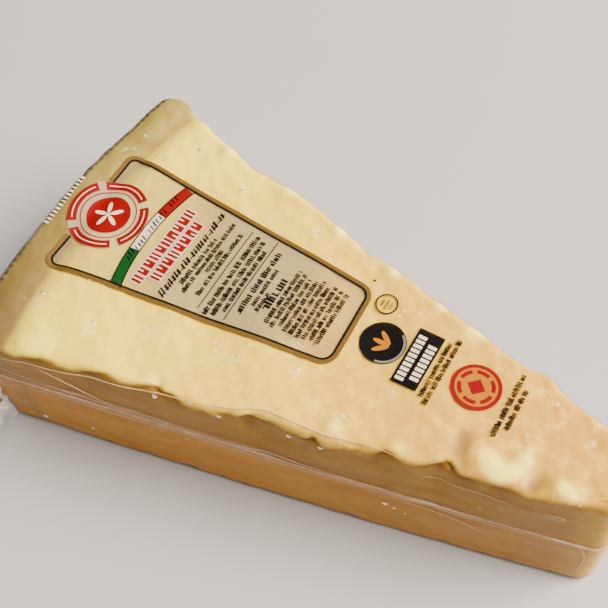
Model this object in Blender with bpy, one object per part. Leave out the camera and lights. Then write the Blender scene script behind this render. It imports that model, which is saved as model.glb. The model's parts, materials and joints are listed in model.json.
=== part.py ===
"""A wedge of parmesan, vacuum packed in clear film, as one closed solid.

The wedge is a flat slab of a sector of the wheel.  It lies on its lower cut face, +Z up, with the
rind at -X, the tip at +X, and its origin on the floor under the middle of its bounding box.
The form is a stack of outlines from the floor up to the top edge, closed by two patches.
"""

import math

import bpy
import numpy as np

# Driving dimensions, in metres and radians.
WHEEL_RADIUS = 0.205  # from the middle of the wheel to the rind, at the top face
TIP_RADIUS = 0.0355  # the slab ends here, short of the middle of the wheel
HALF_ANGLE = math.radians(13.5)
THICKNESS = 0.0435
RIND_DEPTH = 0.0102  # width of the rind's band on the top face

RIND_BARREL = 0.0020  # how far the rind side swells between its edges
RIND_CORNER = 0.0036  # upright corners, seen from above
TIP_CORNER = 0.0060
TOP_ROUND = 0.0024
FLOOR_ROUND = 0.0018
GROOVE_DEPTH = 0.0013  # where the film dips from the rind to the paste
GROOVE_WIDTH = 0.0030

NEAR_SWELL_FLOOR = 0.0040  # the -Y side stands out this far at its foot, towards the tip
NEAR_SWELL_TOP = 0.0010
SWELL_RUN = 0.140  # distance from the rind over which that swelling grows
FAR_HOLLOW = 0.0014  # the +Y side runs this far inside the true sector

SEAM_AT_RIND = 0.625  # height of the film's seam, as a share of the thickness
SEAM_AT_TIP = 0.495
SEAM_STAND = 0.0012  # how far the seam stands out
SEAM_HALF = 0.0007  # half its thickness at the root
FLAP_REACH = 0.0090  # loose corner of film at the seam, by the rind on the -Y side
FLAP_HALF = 0.0055
FLAP_DROOP = 0.0070

# The broken top edges: (distance from the middle of the wheel, outward shift, half width).
NEAR_BUMPS = (
    (0.171, -0.0007, 0.0090),
    (0.141, 0.0006, 0.0080),
    (0.124, -0.0012, 0.0045),
    (0.108, 0.0010, 0.0065),
    (0.088, 0.0006, 0.0040),
    (0.080, -0.0011, 0.0035),
    (0.058, 0.0007, 0.0080),
    (0.043, -0.0007, 0.0040),
)
FAR_BUMPS = (
    (0.200, 0.0035, 0.0033),
    (0.192, 0.0020, 0.0040),
    (0.169, -0.0014, 0.0045),
    (0.144, 0.0008, 0.0100),
    (0.126, -0.0005, 0.0040),
    (0.067, 0.0021, 0.0045),
)
# The soft lumps of the top face: (height, waves along X per metre, waves along Y per metre, phase).
TOP_WAVES = (
    (0.00022, 21.0, 9.0, 0.4),
    (0.00018, -13.0, 27.0, 1.9),
    (0.00012, 38.0, 31.0, 4.1),
)

ALONG = 60  # grid steps from rind to tip
ACROSS = 20  # grid steps from side to side


def ramp(value, start, end):
    """0 before start, 1 after end, and a smooth S between them."""
    t = np.clip((value - start) / (end - start), 0.0, 1.0)
    return t * t * (3.0 - 2.0 * t)


def bumps(reach, table):
    """The sum of the table's bell curves at these distances from the middle of the wheel."""
    total = np.zeros_like(reach)
    for place, height, width in table:
        total += height * np.exp(-(((reach - place) / width) ** 2))
    return total


def round_corners(reach, inside):
    """Turns the corners of the sector into arcs.

    reach is the distance from the middle of the wheel and inside the distance in from the nearer
    side.  A point in the square at a corner moves onto the quarter disc that fits the square.
    """
    for end, radius in ((WHEEL_RADIUS, RIND_CORNER), (TIP_RADIUS, TIP_CORNER)):
        towards = 1.0 if end == WHEEL_RADIUS else -1.0
        along = np.maximum(radius - towards * (end - reach), 0.0)
        across = np.maximum(radius - inside, 0.0)
        length = np.hypot(along, across)
        both = (along > 0.0) & (across > 0.0)
        scale = np.where(both, np.maximum(along, across) / np.maximum(length, 1e-9), 1.0)
        reach = reach - towards * along * (1.0 - scale)
        inside = inside + across * (1.0 - scale)
    return reach, inside


def perimeter():
    """The sector's rim as (reach, side, inside), once round against the clock from above.

    side is -1 on the -Y side and +1 on the +Y side, and inside is the distance in from that side.
    """
    share = (np.arange(ALONG) / ALONG) ** 1.2
    along = WHEEL_RADIUS - share * (WHEEL_RADIUS - TIP_RADIUS)
    back = WHEEL_RADIUS - (np.arange(ALONG, 0, -1) / ALONG) ** 1.2 * (WHEEL_RADIUS - TIP_RADIUS)
    over = np.arange(ACROSS) / ACROSS * 2.0 - 1.0
    reach = np.concatenate([along, np.full(ACROSS, TIP_RADIUS), back, np.full(ACROSS, WHEEL_RADIUS)])
    turn = np.concatenate([np.full(ALONG, -1.0), over, np.full(ALONG, 1.0), -over])
    side = np.where(turn < 0.0, -1.0, 1.0)
    inside = (1.0 - np.abs(turn)) * HALF_ANGLE * reach
    return reach, side, inside


def seam_height(reach):
    """The seam falls evenly from the rind to the tip."""
    share = (WHEEL_RADIUS - reach) / (WHEEL_RADIUS - TIP_RADIUS)
    return THICKNESS * (SEAM_AT_RIND + (SEAM_AT_TIP - SEAM_AT_RIND) * share)


def side_shift(reach, side, height):
    """How far a cut side stands out of the true sector at this height (0 floor, 1 top)."""
    grow = np.sin(0.5 * math.pi * np.clip((WHEEL_RADIUS - reach) / SWELL_RUN, 0.0, 1.0))
    near = grow * (NEAR_SWELL_FLOOR + (NEAR_SWELL_TOP - NEAR_SWELL_FLOOR) * height)
    far = np.full_like(reach, -FAR_HOLLOW)
    near = near + bumps(reach, NEAR_BUMPS) * ramp(height, 0.45, 0.95)
    far = far + bumps(reach, FAR_BUMPS) * ramp(height, 0.35, 0.95)
    return np.where(side < 0.0, near, far)


def outline(z, inset, stand):
    """One ring of the wall: heights z, drawn in by inset and pushed out by stand, as XY points."""
    reach, side, inside = perimeter()
    height = z / THICKNESS
    reach, inside = round_corners(reach, inside)
    shift = side_shift(reach, side, height)
    width = HALF_ANGLE * reach
    shift = shift * (1.0 - inside / width)
    swell = RIND_BARREL * np.sin(math.pi * np.clip(height, 0.0, 1.0)) ** 0.8
    end = ramp(reach, WHEEL_RADIUS - 1.5 * RIND_CORNER, WHEEL_RADIUS)
    angle = side * (width - inside + shift) / reach
    x = -(reach + swell * end) * np.cos(angle)
    y = (reach + swell * end) * np.sin(angle)
    ring = np.stack([x, y], axis=1)
    tangent = np.roll(ring, -1, axis=0) - np.roll(ring, 1, axis=0)
    normal = np.stack([tangent[:, 1], -tangent[:, 0]], axis=1)
    normal /= np.linalg.norm(normal, axis=1)[:, None]
    return ring + normal * (stand - inset)[:, None]


def top_relief(x, y):
    """Height of the top face over its flat: the dip behind the rind, and soft lumps."""
    reach = np.hypot(x, y)
    dip = -GROOVE_DEPTH * np.exp(-(((reach - WHEEL_RADIUS + RIND_DEPTH) / GROOVE_WIDTH) ** 2))
    lumps = np.zeros_like(x)
    for height, along, across, phase in TOP_WAVES:
        lumps += height * np.sin(2.0 * math.pi * (along * x + across * y) + phase)
    return dip + lumps


def rounded_edge(radius, turn):
    """Distance from the flat face and inset of a point on a quarter round, from 0 (face) to 1 (wall)."""
    bend = 0.5 * math.pi * turn
    return radius * (1.0 - math.cos(bend)), radius * (1.0 - math.sin(bend))


def wall():
    """The rings from the floor to the top edge, as an array of (ring, place, XYZ)."""
    reach, side, inside = perimeter()
    seam = seam_height(reach)
    corner = np.hypot(WHEEL_RADIUS - reach, inside)
    flap = np.where(side < 0.0, np.exp(-((corner / FLAP_HALF) ** 2)), 0.0)
    seam_lip = SEAM_STAND + FLAP_REACH * flap
    top = THICKNESS
    zero = np.zeros_like(reach)
    rows = []
    for turn in (0.0, 0.5, 1.0):
        rise, inset = rounded_edge(FLOOR_ROUND, turn)
        rows.append((zero + rise, inset, zero))
    rows.append((0.55 * seam, 0.0, zero))
    rows.append((seam - SEAM_HALF, 0.0, zero))
    rows.append((seam - FLAP_DROOP * flap, 0.0, seam_lip))
    rows.append((seam + SEAM_HALF, 0.0, zero))
    for share in (0.35, 0.70):
        rows.append((seam + share * (top - TOP_ROUND - seam), 0.0, zero))
    for turn in (1.0, 0.5, 0.0):
        drop, inset = rounded_edge(TOP_ROUND, turn)
        rows.append((zero + top - drop, inset, zero))
    rings = []
    for z, inset, stand in rows:
        xy = outline(z, zero + inset, stand)
        lift = ramp(z, 0.6 * top, top) * top_relief(xy[:, 0], xy[:, 1])
        rings.append(np.column_stack([xy, z + lift]))
    return np.array(rings)


def patch(ring):
    """A grid of (ALONG + 1) by (ACROSS + 1) XY points that the ring bounds, by Coons's formula."""
    near = ring[: ALONG + 1]
    tip = ring[ALONG : ALONG + ACROSS + 1]
    far = ring[ALONG + ACROSS : 2 * ALONG + ACROSS + 1][::-1]
    rind = np.vstack([ring[2 * ALONG + ACROSS :], ring[:1]])[::-1]
    u = np.linspace(0.0, 1.0, ALONG + 1)[:, None, None]
    v = np.linspace(0.0, 1.0, ACROSS + 1)[None, :, None]
    sides = (1.0 - v) * near[:, None] + v * far[:, None]
    ends = (1.0 - u) * rind[None] + u * tip[None]
    corners = (1.0 - u) * ((1.0 - v) * near[0] + v * far[0]) + u * ((1.0 - v) * near[-1] + v * far[-1])
    return sides + ends - corners


def grid_faces(first, rows, columns, close):
    """Quads between neighbouring rows of an index grid; close joins the last column to the first."""
    index = first + np.arange(rows * columns).reshape(rows, columns)
    right = np.roll(index, -1, axis=1)
    steps = columns if close else columns - 1
    quads = np.stack([index[:-1], right[:-1], right[1:], index[1:]], axis=2)[:, :steps]
    return quads.reshape(-1, 4)


def lid(ring_index, ring, first):
    """The patch inside one end ring: its inner points, and its quads, seen against the clock."""
    grid = patch(ring)
    index = np.zeros((ALONG + 1, ACROSS + 1), dtype=int)
    index[:, 0] = ring_index[: ALONG + 1]
    index[-1, :] = ring_index[ALONG : ALONG + ACROSS + 1]
    index[:, -1] = ring_index[ALONG + ACROSS : 2 * ALONG + ACROSS + 1][::-1]
    index[0, 1:] = ring_index[2 * ALONG + ACROSS :][::-1]
    inner = grid[1:-1, 1:-1]
    index[1:-1, 1:-1] = first + np.arange(inner.shape[0] * inner.shape[1]).reshape(inner.shape[:2])
    quads = np.stack([index[:-1, :-1], index[1:, :-1], index[1:, 1:], index[:-1, 1:]], axis=2)
    return inner.reshape(-1, 2), quads.reshape(-1, 4)


def pack_mesh():
    """The whole pack as one closed mesh, with the origin under the middle of its box."""
    rings = wall()
    rows, columns = rings.shape[:2]
    points = rings.reshape(-1, 3)
    faces = [grid_faces(0, rows, columns, close=True)]
    ring_index = np.arange(columns)
    floor_xy, floor_quads = lid(ring_index, rings[0, :, :2], len(points))
    points = np.vstack([points, np.column_stack([floor_xy, np.zeros(len(floor_xy))])])
    faces.append(floor_quads[:, ::-1])
    top_xy, top_quads = lid(ring_index + (rows - 1) * columns, rings[-1, :, :2], len(points))
    top_z = THICKNESS + top_relief(top_xy[:, 0], top_xy[:, 1])
    points = np.vstack([points, np.column_stack([top_xy, top_z])])
    faces.append(top_quads)
    middle = 0.5 * (points.min(axis=0) + points.max(axis=0))
    points = points - [middle[0], middle[1], 0.0]
    mesh = bpy.data.meshes.new("vacuum_packed_wedge")
    mesh.from_pydata(points.tolist(), [], np.vstack(faces).tolist())
    mesh.update()
    return mesh


def film_over_paste():
    """Clear, close-drawn film over straw-coloured paste."""
    material = bpy.data.materials.new("film_over_parmesan_paste")
    material.use_nodes = True
    shader = material.node_tree.nodes["Principled BSDF"]
    shader.inputs["Base Color"].default_value = (0.76, 0.60, 0.34, 1.0)
    shader.inputs["Metallic"].default_value = 0.0
    shader.inputs["Roughness"].default_value = 0.28
    return material


def clear_scene():
    for item in list(bpy.data.objects):
        bpy.data.objects.remove(item, do_unlink=True)


def main():
    clear_scene()
    mesh = pack_mesh()
    mesh.materials.append(film_over_paste())
    pack = bpy.data.objects.new("vacuum_packed_wedge", mesh)
    bpy.context.scene.collection.objects.link(pack)
    mesh.shade_smooth()
    mesh.set_sharp_from_angle(angle=math.radians(40.0))


main()
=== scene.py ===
# %% [markdown]
# # A vacuum-packed wedge of parmesan
# A supermarket wedge of hard cheese is a slab cut from a sector of the wheel: two straight cut
# sides, a curved end with the rind on it, and a blunt tip.  It is sealed between two webs of clear
# film, the upper one printed, and the air is drawn out, so the film follows every lump.  The
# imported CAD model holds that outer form.  This file puts the real surfaces in its place.

# %% Load the frame
import json
import math

import bmesh
import bpy
import numpy as np
from mathutils import Matrix, Vector


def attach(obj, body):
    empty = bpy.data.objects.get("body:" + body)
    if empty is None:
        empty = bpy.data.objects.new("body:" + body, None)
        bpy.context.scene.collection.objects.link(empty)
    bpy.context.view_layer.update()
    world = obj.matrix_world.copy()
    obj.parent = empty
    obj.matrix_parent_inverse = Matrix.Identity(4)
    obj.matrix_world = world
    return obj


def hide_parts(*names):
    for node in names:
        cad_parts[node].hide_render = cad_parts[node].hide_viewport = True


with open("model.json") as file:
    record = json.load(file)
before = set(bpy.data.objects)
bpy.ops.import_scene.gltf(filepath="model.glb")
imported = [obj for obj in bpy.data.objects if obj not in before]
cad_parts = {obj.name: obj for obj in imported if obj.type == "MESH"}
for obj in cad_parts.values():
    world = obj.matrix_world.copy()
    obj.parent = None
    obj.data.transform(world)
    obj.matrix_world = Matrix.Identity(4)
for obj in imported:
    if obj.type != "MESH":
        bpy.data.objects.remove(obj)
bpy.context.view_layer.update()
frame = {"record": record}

NODE = "vacuum_packed_wedge"
MM = 0.001

# %% [markdown]
# ## The wheel's own frame
# Everything about a wedge is easiest to say from the middle of the wheel that it was cut from:
# the reach is the distance from there, and the rind is where the reach ends.  The record's
# base mount lies on the wedge's middle line at a reach of 120 mm, so the middle of the wheel
# follows from it.

# %% Driving dimensions, in metres
BASE = Vector(frame["record"]["mounts"][0]["pos_m"])
MOUNT_REACH = 120 * MM
WHEEL_X = BASE.x + MOUNT_REACH
WHEEL_Y = BASE.y
WHEEL_RADIUS = 205 * MM
TIP_RADIUS = 35.5 * MM
HALF_ANGLE = math.radians(13.5)
THICKNESS = 43.5 * MM
RIND_DEPTH = 10.2 * MM
RIND_BARREL = 2.0 * MM
RIND_CORNER = 3.6 * MM
TIP_CORNER = 6.0 * MM
TOP_ROUND = 2.4 * MM
FLOOR_ROUND = 1.8 * MM
GROOVE_DEPTH = 0.9 * MM
GROOVE_WIDTH = 3.0 * MM
RIM_OUT = 1.2 * MM
RIM_UP = 0.9 * MM
NEAR_SWELL_FLOOR = 4.0 * MM
NEAR_SWELL_TOP = 1.0 * MM
SWELL_RUN = 140 * MM
FAR_HOLLOW = 1.4 * MM
SEAM_AT_RIND = 0.625
SEAM_AT_TIP = 0.495
LENGTH = WHEEL_RADIUS - TIP_RADIUS
print("middle of the wheel", round(WHEEL_X, 4), round(WHEEL_Y, 4), "reach of the tip", TIP_RADIUS)

# %% Broken edges and lumps
# (reach, outward shift, half width), all in millimetres: the CAD solid's, but with the far edge's
# first two lower and wider, because the rind's rim stands out there already.
NEAR_BUMPS = (
    (171, -0.7, 9.0), (141, 0.6, 8.0), (124, -1.2, 4.5), (108, 1.0, 6.5),
    (88, 0.6, 4.0), (80, -1.1, 3.5), (58, 0.7, 8.0), (43, -0.7, 4.0),
)
FAR_BUMPS = (
    (200, 2.6, 4.2), (191, 1.6, 4.5), (169, -1.4, 4.5),
    (144, 0.8, 10.0), (126, -0.5, 4.0), (67, 2.1, 4.5),
)
# (height in mm, waves per metre along X, waves per metre along Y, phase)
TOP_WAVES = ((0.22, 21.0, 9.0, 0.4), (0.18, -13.0, 27.0, 1.9), (0.12, 38.0, 31.0, 4.1))
# Shares of the height from which each break widens towards the top, and where all are full.
NEAR_BREAK = 0.45
FAR_BREAK = 0.35
RIM_BREAK = 0.55
BREAK_FULL = 0.95
print(len(NEAR_BUMPS), "bumps on the near edge,", len(FAR_BUMPS), "on the far edge")

# %% [markdown]
# ## Camera
# A close, steep three-quarter view from the tip's side, with a slight lean.  The camera is placed
# from the middle of the wheel and aimed by its pitch, its heading and its roll.

# %% Camera
CAMERA_FROM_WHEEL = Vector((-49.7, -104.5, 263.6)) * MM
HEADING = math.radians(35.9)
PITCH = math.radians(58.7)
ROLL = math.radians(6.2)
SENSOR = 36.0
FOCAL_SHARE = 1.644736842105263  # focal length over the width of the frame

level = Vector((math.cos(HEADING), math.sin(HEADING), 0.0))
ahead = Vector((-math.sin(HEADING), math.cos(HEADING), 0.0))
forward = ahead * math.cos(PITCH) - Vector((0, 0, math.sin(PITCH)))
down = -ahead * math.sin(PITCH) - Vector((0, 0, math.cos(PITCH)))
right = level * math.cos(ROLL) + down * math.sin(ROLL)
below = down * math.cos(ROLL) - level * math.sin(ROLL)
camera = bpy.data.objects.new("camera", bpy.data.cameras.new("camera"))
bpy.context.scene.collection.objects.link(camera)
turn = Matrix((right, -below, -forward)).transposed().to_4x4()
place = Vector((WHEEL_X, WHEEL_Y, 0.0)) + CAMERA_FROM_WHEEL
camera.matrix_world = Matrix.Translation(place) @ turn
camera.data.sensor_width = SENSOR
camera.data.lens = SENSOR * FOCAL_SHARE
camera.data.clip_start = 0.01
bpy.context.scene.camera = camera
print("camera at", tuple(round(c, 3) for c in place), "lens", round(camera.data.lens, 1))

# %% [markdown]
# ## The base form
# The outer form is a stack of outlines from the floor to the top edge, closed by a patch at each
# end.  It repeats the CAD solid's own formulas on a much finer grid, so that the visual model and
# the solid agree, and adds the rind's raised rim, which the solid leaves out.  It returns the
# normals along which film and cheese then leave it.


# %% Small helpers
def ramp(value, start, end):
    """0 before start, 1 after end, and a smooth S between them."""
    t = np.clip((value - start) / (end - start), 0.0, 1.0)
    return t * t * (3.0 - 2.0 * t)


def unit(vectors):
    """Each vector divided by its length."""
    return vectors / np.linalg.norm(vectors, axis=-1, keepdims=True)


def bumps(reach, table):
    """The sum of the table's bell curves, each height * exp(-((reach - place) / width)^2)."""
    total = np.zeros_like(reach)
    for place_mm, height_mm, width_mm in table:
        total += height_mm * MM * np.exp(-(((reach - place_mm * MM) / (width_mm * MM)) ** 2))
    return total


def ripple(points, wavelength, seed, waves=14):
    """Smooth noise within -1 and 1: the tanh of a sum of plane waves of about one length."""
    rng = np.random.default_rng(seed)
    directions = unit(rng.normal(size=(waves, points.shape[1])))
    numbers = 2.0 * math.pi / (wavelength * rng.uniform(0.7, 1.5, waves))
    phases = rng.uniform(0.0, 2.0 * math.pi, waves)
    total = np.zeros(len(points))
    for direction, number, phase in zip(directions, numbers, phases):
        total += np.sin(points @ (direction * number) + phase)
    return np.tanh(total / math.sqrt(waves / 2.0))


# %% The rim of the sector
COLUMN_CROWDING = 1.1  # above 1, the columns of the grid crowd towards the rind


def round_corners(reach, inside):
    """Moves a point in the square at a corner onto the quarter disc that fits that square."""
    for end, radius, towards in ((WHEEL_RADIUS, RIND_CORNER, 1.0), (TIP_RADIUS, TIP_CORNER, -1.0)):
        along = np.maximum(radius - towards * (end - reach), 0.0)
        across = np.maximum(radius - inside, 0.0)
        both = (along > 0.0) & (across > 0.0)
        length = np.maximum(np.hypot(along, across), 1e-9)
        scale = np.where(both, np.maximum(along, across) / length, 1.0)
        reach = reach - towards * along * (1.0 - scale)
        inside = inside + across * (1.0 - scale)
    return reach, inside


def perimeter(along, across):
    """The rim as (reach, side, inside), against the clock from the rind corner on the -Y side."""
    forth = WHEEL_RADIUS - (np.arange(along) / along) ** COLUMN_CROWDING * LENGTH
    back = WHEEL_RADIUS - (np.arange(along, 0, -1) / along) ** COLUMN_CROWDING * LENGTH
    over = np.arange(across) / across * 2.0 - 1.0
    tip, rind = np.full(across, TIP_RADIUS), np.full(across, WHEEL_RADIUS)
    reach = np.concatenate([forth, tip, back, rind])
    sweep = np.concatenate([np.full(along, -1.0), over, np.full(along, 1.0), -over])
    inside = (1.0 - np.abs(sweep)) * HALF_ANGLE * reach
    return reach, np.where(sweep < 0.0, -1.0, 1.0), inside


def from_rind(reach):
    """The way from the rind to the tip as a share, 0 to 1."""
    return (WHEEL_RADIUS - reach) / LENGTH


def seam_height(reach):
    """The seam falls evenly from the rind to the tip."""
    return THICKNESS * (SEAM_AT_RIND + (SEAM_AT_TIP - SEAM_AT_RIND) * from_rind(reach))


# %% The outline at one height
def side_shift(reach, side, height):
    """How far a cut side stands out of the true sector at this height (0 floor, 1 top)."""
    grow = np.sin(0.5 * math.pi * np.clip((WHEEL_RADIUS - reach) / SWELL_RUN, 0.0, 1.0))
    near = grow * (NEAR_SWELL_FLOOR + (NEAR_SWELL_TOP - NEAR_SWELL_FLOOR) * height)
    near = near + bumps(reach, NEAR_BUMPS) * ramp(height, NEAR_BREAK, BREAK_FULL)
    far = bumps(reach, FAR_BUMPS) * ramp(height, FAR_BREAK, BREAK_FULL) - FAR_HOLLOW
    return np.where(side < 0.0, near, far)


def outline(rim, z, stand):
    """The rim at heights z as XY in the wheel's frame, pushed out along its normals by stand."""
    reach, side, inside = rim
    height = z / THICKNESS
    reach, inside = round_corners(reach, inside)
    width = HALF_ANGLE * reach
    shift = side_shift(reach, side, height) * (1.0 - inside / width)
    swell = RIND_BARREL * np.sin(math.pi * np.clip(height, 0.0, 1.0)) ** 0.8
    swell = swell + RIM_OUT * ramp(height, RIM_BREAK, BREAK_FULL)
    out = reach + swell * ramp(reach, WHEEL_RADIUS - 1.5 * RIND_CORNER, WHEEL_RADIUS)
    angle = side * (width - inside + shift) / reach
    ring = np.stack([-out * np.cos(angle), out * np.sin(angle)], axis=1)
    tangent = np.roll(ring, -1, axis=0) - np.roll(ring, 1, axis=0)
    normal = unit(np.stack([tangent[:, 1], -tangent[:, 0]], axis=1))
    return ring + normal * np.reshape(stand, (-1, 1))


def top_relief(x, y):
    """The top over its flat: a bell-shaped dip behind the rind, the rim, and three long waves."""
    reach = np.hypot(x, y)
    dip = -GROOVE_DEPTH * np.exp(-(((reach - WHEEL_RADIUS + RIND_DEPTH) / GROOVE_WIDTH) ** 2))
    dip = dip + RIM_UP * ramp(reach, WHEEL_RADIUS - RIND_DEPTH, WHEEL_RADIUS - 2.0 * MM)
    for height, along, across, phase in TOP_WAVES:
        dip = dip + height * MM * np.sin(2.0 * math.pi * (along * x + across * y) + phase)
    return dip


def raised(xy, z):
    """XY and heights as points, with the top's relief faded in over the upper 40 percent."""
    lift = ramp(z, 0.6 * THICKNESS, THICKNESS) * top_relief(xy[:, 0], xy[:, 1])
    return np.column_stack([xy, z + lift])


# %% Levels and the patch over an end
def level_rows(wall_steps, round_steps):
    """(height, inset) of each level: a quarter round at the floor, the wall, one at the top."""
    bend = np.linspace(0.0, 0.5 * math.pi, round_steps + 1)
    foot = np.stack([FLOOR_ROUND * (1 - np.cos(bend)), FLOOR_ROUND * (1 - np.sin(bend))], axis=1)
    head = np.stack([TOP_ROUND * (1 - np.cos(bend)), TOP_ROUND * (1 - np.sin(bend))], axis=1)
    head[:, 0] = THICKNESS - head[:, 0]
    wall = np.linspace(FLOOR_ROUND, THICKNESS - TOP_ROUND, wall_steps + 1)[1:-1]
    wall = np.stack([wall, np.zeros_like(wall)], axis=1)
    return np.vstack([foot, wall, head[::-1]])


def four_sides(ring, along, across):
    """A ring's near, tip, far and rind side, each from its end by the rind or the near side."""
    tip_end = along + across
    far = ring[tip_end:tip_end + along + 1][::-1]
    rind = np.concatenate([ring[tip_end + along:], ring[:1]])[::-1]
    return ring[:along + 1], ring[along:tip_end + 1], far, rind


def bowed_patch(ring, along, across):
    """Straight rulings from near to far, plus each end's bow, faded by the sixth power inwards."""
    near, tip, far, rind = four_sides(ring, along, across)
    u = np.linspace(0.0, 1.0, along + 1)[:, None, None]
    v = np.linspace(0.0, 1.0, across + 1)[None, :, None]
    rind_bow = rind[None] - ((1 - v) * near[0] + v * far[0])
    tip_bow = tip[None] - ((1 - v) * near[-1] + v * far[-1])
    return (1 - v) * near[:, None] + v * far[:, None] + (1 - u) ** 6 * rind_bow + u**6 * tip_bow


def grid_quads(index, flip=False):
    """The quads between neighbouring rows and columns of point numbers; flip turns them over."""
    corners = [index[..., :-1, :-1], index[..., 1:, :-1], index[..., 1:, 1:], index[..., :-1, 1:]]
    if flip:
        corners[1], corners[3] = corners[3], corners[1]
    return np.stack(corners, axis=-1).reshape(-1, 4)


def lid(ring_index, ring, first, along, across):
    """The inner points of one end's patch, and its quads against the clock from above."""
    grid = bowed_patch(ring, along, across)[1:-1, 1:-1]
    index = np.zeros((along + 1, across + 1), dtype=int)
    index[:, 0], index[-1], index[:, -1], index[0] = four_sides(ring_index, along, across)
    index[1:-1, 1:-1] = first + np.arange(grid[..., 0].size).reshape(grid.shape[:2])
    return grid.reshape(-1, 2), grid_quads(index)


# %% The closed form
def vertex_normals(points, quads):
    """Unit normals: at each point, the sum of its quads' diagonal cross products."""
    corners = points[quads]
    faces = np.cross(corners[:, 2] - corners[:, 0], corners[:, 3] - corners[:, 1])
    normals = np.zeros_like(points)
    for corner in range(4):
        np.add.at(normals, quads[:, corner], faces)
    return normals / np.maximum(np.linalg.norm(normals, axis=1), 1e-12)[:, None]


def base_form(along, across, wall_steps, round_steps=5):
    """Points, quads and normals of the pack's outer form: outlines, then a patch at each end."""
    rim = perimeter(along, across)
    full = np.ones(rim[0].size)
    rings = np.array([raised(outline(rim, z * full, -inset * full), z)
                      for z, inset in level_rows(wall_steps, round_steps)])
    index = np.arange(rings[..., 0].size).reshape(rings.shape[:2])
    wall_quads = grid_quads(np.pad(index, ((0, 0), (0, 1)), "wrap"), flip=True)
    points = rings.reshape(-1, 3)
    floor_xy, floor_quads = lid(index[0], rings[0, :, :2], len(points), along, across)
    points = np.vstack([points, np.column_stack([floor_xy, np.zeros(len(floor_xy))])])
    top_xy, top_quads = lid(index[-1], rings[-1, :, :2], len(points), along, across)
    points = np.vstack([points, raised(top_xy, THICKNESS)])
    quads = np.vstack([wall_quads, floor_quads[:, ::-1], top_quads])
    return points, quads, vertex_normals(points, quads)

# %% [markdown]
# ## Relief
# The cheese breaks rather than cuts, so its top edges are chipped and its faces are softly lumpy.
# The film lies on the high places and bridges the low ones.  One smooth function lifts the lumps
# of the top for film and cheese alike, and one gives the film's own ripples.  The cheese is then
# drawn in from the film by a thin gap, and by the depth of each chipped pocket.

# %% Where a point lies
def over_edge(points, side):
    """How far a point lies over a top edge: below zero on the top face, above zero down the wall."""
    reach = np.hypot(points[:, 0], points[:, 1])
    angle = np.arctan2(points[:, 1], -points[:, 0])
    edge = side_shift(reach, np.full_like(reach, side), np.ones_like(reach))
    inside = HALF_ANGLE * reach + edge - side * angle * reach
    return THICKNESS - points[:, 2] - np.clip(inside, 0.0, None)


# How far down the wall the pale top reaches over the edge before the wall's painted shade sets in:
# in general, and then more or less by the bells of each table, as (reach, shift, half width) in mm.
CAP = 1.4 * MM
NEAR_CAP = (
    (183, -2.0, 5.0), (166, -3.4, 3.5), (153, -4.6, 5.0), (139, 1.2, 4.0), (120, -0.8, 2.0),
    (113.4, 1.8, 1.2), (111, -2.4, 1.3), (103, 1.0, 3.0), (92, -1.8, 3.5), (78.6, -3.8, 1.8),
)
FAR_CAP = ((190, 1.5, 5.0), (160, -2.0, 6.0), (131, 1.6, 4.0), (98, -2.2, 5.0), (72, 1.4, 5.0))
# The stretch where the edge crumbles most: it sets in, is full, and dies out again between these.
CRUMBLY = (84 * MM, 98 * MM, 148 * MM, 164 * MM)


def below_cap(points, side):
    """Distance down from the irregular line where the pale top gives way to the wall's painted shade.
    """
    reach = np.hypot(points[:, 0], points[:, 1])
    table = NEAR_CAP if side < 0 else FAR_CAP
    cap = CAP + bumps(reach, table) + 0.35 * MM * ripple(points, 7 * MM, 11)
    crumbly = ramp(reach, CRUMBLY[0], CRUMBLY[1]) * ramp(-reach, -CRUMBLY[3], -CRUMBLY[2])
    cap = cap + crumbly * 1.2 * MM * ripple(points, 4.4 * MM, 12)
    return over_edge(points, side) - cap


# %% Pockets and lumps
# (reach, depth, half width) in mm of the pockets chipped out under the near top edge.
POCKETS = (
    (187, 0.6, 4.0), (170, 0.8, 3.5), (152, 1.3, 5.5), (127, 0.9, 3.5), (111.5, 1.2, 2.4),
    (94, 0.9, 3.0), (84, 0.8, 2.4), (78.6, 1.2, 2.8), (73.5, 0.9, 2.0), (66, 0.5, 3.0),
)
# (reach, place across, height, half width) in mm of the lumps and hollows on the top.
LUMPS = (
    (69.5, -11.5, 0.5, 3.4), (65.5, -14.2, 0.6, 3.2), (61.3, -4.0, 0.3, 1.8),
    (61.4, -7.6, 0.45, 2.3), (62.0, -11.2, 0.5, 2.4), (76.4, -9.0, -0.5, 2.6),
    (75.6, -12.6, -0.65, 2.8), (73.0, -16.0, -0.5, 2.4), (56.1, -9.8, -0.5, 2.1),
    (57.4, -13.0, -0.6, 2.2), (51.4, -9.6, 0.45, 2.8), (48.2, -11.2, 0.4, 2.6),
    (45.4, -8.6, -0.25, 2.0), (104.5, -22.5, 0.45, 2.4), (88.5, -19.5, 0.35, 2.6),
    (150.0, -34.0, 0.35, 4.0), (172.0, 31.0, 0.25, 6.0), (128.0, 23.0, -0.3, 3.5),
    (88.0, 14.0, 0.2, 5.0), (181.0, -38.0, 0.4, 4.5), (173.0, 38.0, 0.8, 2.0),
    (165.0, 36.8, 0.45, 2.4), (158.0, 35.5, -0.28, 2.4), (150.5, 33.5, 0.7, 2.6),
    (139.0, 30.5, -0.25, 2.6), (131.5, 28.5, 0.75, 2.2), (121.0, 26.2, -0.25, 2.4),
    (113.0, 24.0, 0.65, 2.2), (103.0, 21.6, -0.22, 2.4), (97.0, 20.4, 0.55, 2.2),
    (86.0, 17.8, 0.5, 2.4), (78.0, 15.8, -0.2, 2.4),
)


POCKET_MIDDLE = 2.0 * MM
POCKET_HALF = 1.9 * MM


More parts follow.
